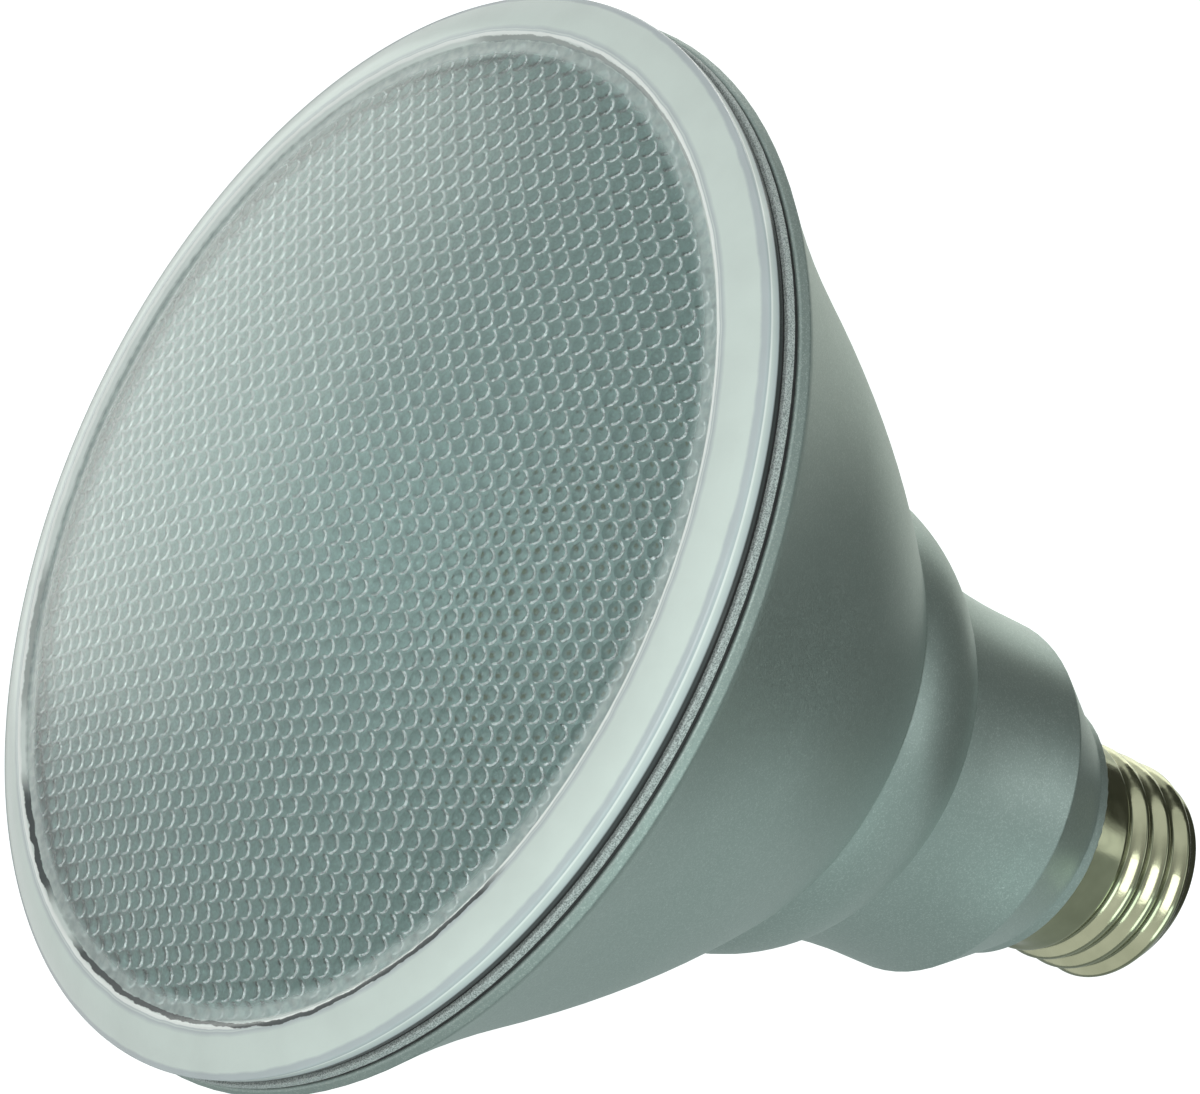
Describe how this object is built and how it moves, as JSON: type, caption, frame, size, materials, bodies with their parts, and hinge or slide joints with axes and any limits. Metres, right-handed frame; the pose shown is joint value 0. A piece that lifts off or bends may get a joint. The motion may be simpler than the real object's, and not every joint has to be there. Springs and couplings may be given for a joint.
{
  "type": "par spotlight bulb",
  "caption": "Reflector spotlight bulb with a clear dimpled lens in a rounded rim, a bell-shaped satin grey housing with a stepped neck, and a screw base.",
  "frame": {"origin": "tip of the centre contact, on the lamp's axis", "axes": "+Z along the lamp's axis from the screw base to the lens; X and Y are free round it"},
  "size_m": [0.1208, 0.1208, 0.1334],
  "materials": {
    "lens_clear": "clear moulded",
    "gasket_black": "matt",
    "reflector_aluminium": "spun, bright inside",
    "housing_paint": "satin metallic grey",
    "shell_nickel": "nickel plate",
    "insulator_black": "glossy black",
    "contact_brass": "tinned",
    "sink_aluminium": "turned",
    "screw_steel": "zinc plated",
    "pad_grey": "matt",
    "substrate_white": "ceramic white",
    "phosphor_yellow": "matt silicone",
    "holder_white": "matt",
    "cup_white": "matt",
    "board_green": "solder mask",
    "ferrite_grey": "sintered",
    "winding_copper": "enamelled wire",
    "can_sleeve": "sleeved can",
    "film_box": "moulded box",
    "chip_black": "moulded",
    "wire_sleeve": "insulated",
    "lead_tin": "tinned",
    "fuse_body": "lacquered"
  },
  "bodies": {
    "root": {"screw_shell": "shell_nickel", "base_insulator": "insulator_black", "centre_contact": "contact_brass", "housing": "housing_paint", "heat_sink": "sink_aluminium", "heat_sink_screws": "screw_steel", "thermal_pad": "pad_grey", "led_substrate": "substrate_white", "led_phosphor": "phosphor_yellow", "led_holder": "holder_white", "holder_screws": "screw_steel", "reflector": "reflector_aluminium", "lip_seal": "gasket_black", "lens_gasket": "gasket_black", "lens": "lens_clear", "driver_cup": "cup_white", "driver_board": "board_green", "transformer_core": "ferrite_grey", "transformer_winding": "winding_copper", "smoothing_capacitor": "can_sleeve", "filter_capacitor": "film_box", "choke": "ferrite_grey", "bridge_rectifier": "chip_black", "control_chip": "chip_black", "led_wires": "wire_sleeve", "fuse_resistor": "fuse_body", "line_wire": "lead_tin", "neutral_wire": "lead_tin"}
  },
  "joints": []
}
